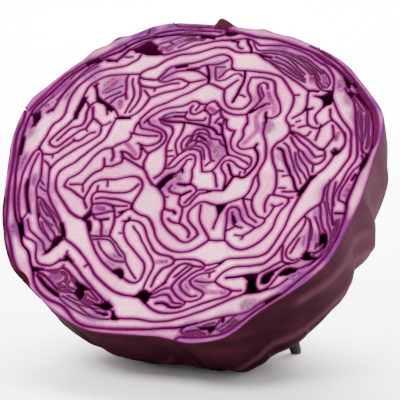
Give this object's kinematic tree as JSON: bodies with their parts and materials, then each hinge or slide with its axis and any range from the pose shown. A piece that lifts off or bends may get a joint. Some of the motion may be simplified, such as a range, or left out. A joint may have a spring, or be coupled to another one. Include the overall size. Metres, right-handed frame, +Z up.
{
  "type": "halved red cabbage",
  "caption": "Red cabbage head cut across, lying on its outer leaves with the folded cut face turned up and forward.",
  "frame": {"origin": "middle of the object's bounding box, at the ground", "axes": "+Z up, -Y towards the viewer, the cut face leans back from level and turns a little to -X"},
  "size_m": [0.149, 0.133, 0.127],
  "materials": {
    "heart_leaf_01": "moist cut flesh",
    "heart_leaf_02": "moist cut flesh",
    "heart_leaf_03": "moist cut flesh",
    "heart_leaf_04": "moist cut flesh",
    "heart_leaf_05": "moist cut flesh",
    "heart_leaf_06": "moist cut flesh",
    "heart_leaf_07": "moist cut flesh",
    "heart_leaf_08": "moist cut flesh",
    "heart_leaf_09": "moist cut flesh",
    "heart_leaf_10": "moist cut flesh",
    "heart_leaf_11": "moist cut flesh",
    "heart_leaf_12": "moist cut flesh",
    "heart_leaf_13": "moist cut flesh",
    "heart_leaf_14": "moist cut flesh",
    "heart_leaf_15": "moist cut flesh",
    "heart_leaf_16": "moist cut flesh",
    "heart_leaf_17": "moist cut flesh",
    "heart_leaf_18": "moist cut flesh",
    "heart_leaf_19": "moist cut flesh",
    "heart_leaf_20": "moist cut flesh",
    "heart_leaf_21": "moist cut flesh",
    "heart_leaf_22": "moist cut flesh",
    "heart_leaf_23": "moist cut flesh",
    "heart_leaf_24": "moist cut flesh",
    "heart_leaf_25": "moist cut flesh",
    "heart_leaf_26": "moist cut flesh",
    "heart_leaf_27": "moist cut flesh",
    "heart_leaf_28": "moist cut flesh",
    "heart_leaf_29": "moist cut flesh",
    "heart_leaf_30": "moist cut flesh",
    "heart_leaf_31": "moist cut flesh",
    "outer_leaf_01": "waxy, slightly glossy skin",
    "outer_leaf_02": "waxy, slightly glossy skin",
    "outer_leaf_03": "waxy, slightly glossy skin",
    "outer_leaf_04": "waxy, slightly glossy skin",
    "outer_leaf_05": "waxy, slightly glossy skin",
    "stalk": "dry, dull",
    "stem": "dry, dull"
  },
  "bodies": {
    "root": {"heart_leaf_01": "heart_leaf_01", "heart_leaf_02": "heart_leaf_02", "heart_leaf_03": "heart_leaf_03", "heart_leaf_04": "heart_leaf_04", "heart_leaf_05": "heart_leaf_05", "heart_leaf_06": "heart_leaf_06", "heart_leaf_07": "heart_leaf_07", "heart_leaf_08": "heart_leaf_08", "heart_leaf_09": "heart_leaf_09", "heart_leaf_10": "heart_leaf_10", "heart_leaf_11": "heart_leaf_11", "heart_leaf_12": "heart_leaf_12", "heart_leaf_13": "heart_leaf_13", "heart_leaf_14": "heart_leaf_14", "heart_leaf_15": "heart_leaf_15", "heart_leaf_16": "heart_leaf_16", "heart_leaf_17": "heart_leaf_17", "heart_leaf_18": "heart_leaf_18", "heart_leaf_19": "heart_leaf_19", "heart_leaf_20": "heart_leaf_20", "heart_leaf_21": "heart_leaf_21", "heart_leaf_22": "heart_leaf_22", "heart_leaf_23": "heart_leaf_23", "heart_leaf_24": "heart_leaf_24", "heart_leaf_25": "heart_leaf_25", "heart_leaf_26": "heart_leaf_26", "heart_leaf_27": "heart_leaf_27", "heart_leaf_28": "heart_leaf_28", "heart_leaf_29": "heart_leaf_29", "heart_leaf_30": "heart_leaf_30", "heart_leaf_31": "heart_leaf_31", "outer_leaf_01": "outer_leaf_01", "outer_leaf_02": "outer_leaf_02", "outer_leaf_03": "outer_leaf_03", "outer_leaf_04": "outer_leaf_04", "outer_leaf_05": "outer_leaf_05", "stalk": "stalk", "stem": "stem"}
  },
  "joints": []
}
